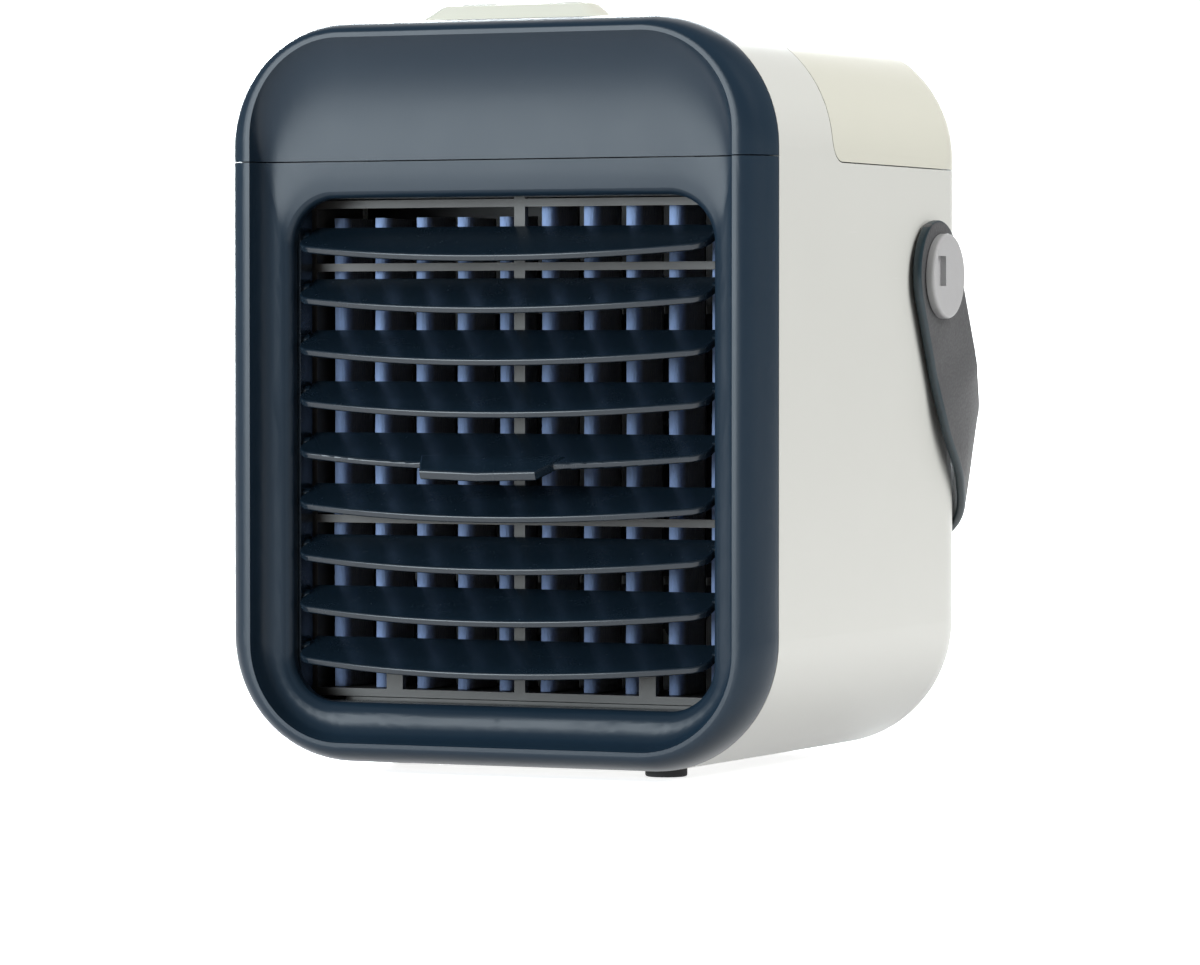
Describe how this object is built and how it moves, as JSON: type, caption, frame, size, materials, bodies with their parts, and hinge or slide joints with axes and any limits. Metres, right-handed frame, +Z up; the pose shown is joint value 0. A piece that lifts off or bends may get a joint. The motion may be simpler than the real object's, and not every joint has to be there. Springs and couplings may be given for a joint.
{
  "type": "box fan",
  "caption": "Desktop box fan that cools air through wet filter sheets, with tilting louver slats, a top water tank, a carrying strap and rubber feet.",
  "frame": {"origin": "centre of the footprint of the whole object's box, on the floor under the feet", "axes": "+X to the object's left-hand side seen from behind (right in the front view), +Y from the louver front to the rear grille, +Z up"},
  "size_m": [0.1616, 0.176, 0.1946],
  "materials": {
    "bezel": "navy satin moulded plastic",
    "louver": "dark navy moulded plastic, semi-gloss",
    "housing": "cream white moulded plastic, satin gloss",
    "tank": "slightly warmer cream moulded plastic, satin gloss",
    "inner_plastic": "dull grey moulded plastic",
    "filter": "light blue non-woven wick sheet",
    "foam": "black open-cell foam",
    "rubber": "matte black rubber",
    "silicone": "translucent grey silicone",
    "strap": "charcoal leather-like strap with a dark painted edge",
    "stud": "light grey satin metal",
    "screw": "zinc plated steel",
    "shaft": "ground steel",
    "bearing": "sintered bronze",
    "fan_plastic": "black moulded plastic",
    "magnet": "ferrite ring",
    "winding": "enamelled copper over laminated steel",
    "board": "green circuit board",
    "window": "clear light pipe"
  },
  "bodies": {
    "body": {"front_bezel": "bezel", "bezel_cap": "bezel", "housing_shell": "housing", "fan_baffle": "fan_plastic", "tank_shelf": "fan_plastic", "dust_screen": "foam", "rubber_feet": "rubber", "louver_frame": "louver", "louver_screws": "screw", "water_tank": "tank", "lid_pin": "shaft", "drip_valve": "silicone", "drip_trough": "inner_plastic", "filter_frame": "inner_plastic", "filter_sheets": "filter", "collector_tray": "inner_plastic", "fan_frame": "fan_plastic", "fan_bearings": "bearing", "motor_stator": "winding", "fan_screws": "screw", "main_board": "board", "board_screws": "screw", "power_inlet": "screw", "control_board": "board", "control_pod": "tank", "light_window": "window", "strap_button_right": "stud", "strap_button_left": "stud", "strap_washers": "rubber", "strap_nuts": "screw"},
    "fan": {"fan_rotor": "fan_plastic", "rotor_magnet": "magnet", "fan_shaft": "shaft"},
    "link": {"louver_link": "louver"},
    "strap": {"carry_strap": "strap"},
    "lid": {"tank_lid": "tank", "lid_seal": "silicone"},
    "power_key_body": {"power_key": "housing"},
    "speed_key_body": {"speed_key": "housing"},
    "slat_1_body": {"slat_1": "louver"},
    "slat_2_body": {"slat_2": "louver"},
    "slat_3_body": {"slat_3": "louver"},
    "slat_4_body": {"slat_4": "louver"},
    "slat_5_body": {"slat_5": "louver"},
    "slat_6_body": {"slat_6": "louver"},
    "slat_7_body": {"slat_7": "louver"},
    "slat_8_body": {"slat_8": "louver"},
    "slat_9_body": {"slat_9": "louver"}
  },
  "joints": [
    {"name": "fan_spin", "type": "hinge", "parent": "body", "child": "fan", "pos_m": [0, -0.01599, 0.078], "axis": [0, 1, 0], "continuous": true},
    {"name": "strap_swing", "type": "hinge", "parent": "body", "child": "strap", "pos_m": [0, 0.02951, 0.126], "axis": [1, 0, 0], "range_deg": [0, 145]},
    {"name": "lid_hinge", "type": "hinge", "parent": "body", "child": "lid", "pos_m": [0, -0.01749, 0.1887], "axis": [1, 0, 0], "range_deg": [0, 100]},
    {"name": "slat_1_tilt", "type": "hinge", "parent": "body", "child": "slat_1_body", "pos_m": [0, -0.06789, 0.1354], "axis": [1, 0, 0], "range_deg": [-50, 18]},
    {"name": "slat_2_tilt", "type": "hinge", "parent": "body", "child": "slat_2_body", "pos_m": [0, -0.06789, 0.12231], "axis": [1, 0, 0], "range_deg": [-50, 18]},
    {"name": "slat_3_tilt", "type": "hinge", "parent": "body", "child": "slat_3_body", "pos_m": [0, -0.06789, 0.10923], "axis": [1, 0, 0], "range_deg": [-50, 18]},
    {"name": "slat_4_tilt", "type": "hinge", "parent": "body", "child": "slat_4_body", "pos_m": [0, -0.06789, 0.09614], "axis": [1, 0, 0], "range_deg": [-50, 18]},
    {"name": "louver_tilt", "type": "hinge", "parent": "body", "child": "slat_5_body", "pos_m": [0, -0.06789, 0.08305], "axis": [1, 0, 0], "range_deg": [-50, 18]},
    {"name": "slat_6_tilt", "type": "hinge", "parent": "body", "child": "slat_6_body", "pos_m": [0, -0.06789, 0.06996], "axis": [1, 0, 0], "range_deg": [-50, 18]},
    {"name": "slat_7_tilt", "type": "hinge", "parent": "body", "child": "slat_7_body", "pos_m": [0, -0.06789, 0.05688], "axis": [1, 0, 0], "range_deg": [-50, 18]},
    {"name": "slat_8_tilt", "type": "hinge", "parent": "body", "child": "slat_8_body", "pos_m": [0, -0.06789, 0.04379], "axis": [1, 0, 0], "range_deg": [-50, 18]},
    {"name": "slat_9_tilt", "type": "hinge", "parent": "body", "child": "slat_9_body", "pos_m": [0, -0.06789, 0.0307], "axis": [1, 0, 0], "range_deg": [-50, 18]},
    {"name": "link_swing", "type": "hinge", "parent": "slat_5_body", "child": "link", "pos_m": [0.065, -0.06372, 0.08474], "axis": [1, 0, 0], "range_deg": [-18, 50]},
    {"name": "power_press", "type": "slide", "parent": "body", "child": "power_key_body", "axis": [0, 0, -1], "range_m": [0, 0.0009], "stiffness_N_per_m": 400, "springref_m": -0.0005},
    {"name": "speed_press", "type": "slide", "parent": "body", "child": "speed_key_body", "axis": [0, 0, -1], "range_m": [0, 0.0009], "stiffness_N_per_m": 400, "springref_m": -0.0005}
  ],
  "couplings": [
    {"joint": "slat_1_tilt", "follows": "louver_tilt", "ratio": 1},
    {"joint": "slat_2_tilt", "follows": "louver_tilt", "ratio": 1},
    {"joint": "slat_3_tilt", "follows": "louver_tilt", "ratio": 1},
    {"joint": "slat_4_tilt", "follows": "louver_tilt", "ratio": 1},
    {"joint": "slat_6_tilt", "follows": "louver_tilt", "ratio": 1},
    {"joint": "slat_7_tilt", "follows": "louver_tilt", "ratio": 1},
    {"joint": "slat_8_tilt", "follows": "louver_tilt", "ratio": 1},
    {"joint": "slat_9_tilt", "follows": "louver_tilt", "ratio": 1},
    {"joint": "link_swing", "follows": "louver_tilt", "ratio": -1}
  ]
}
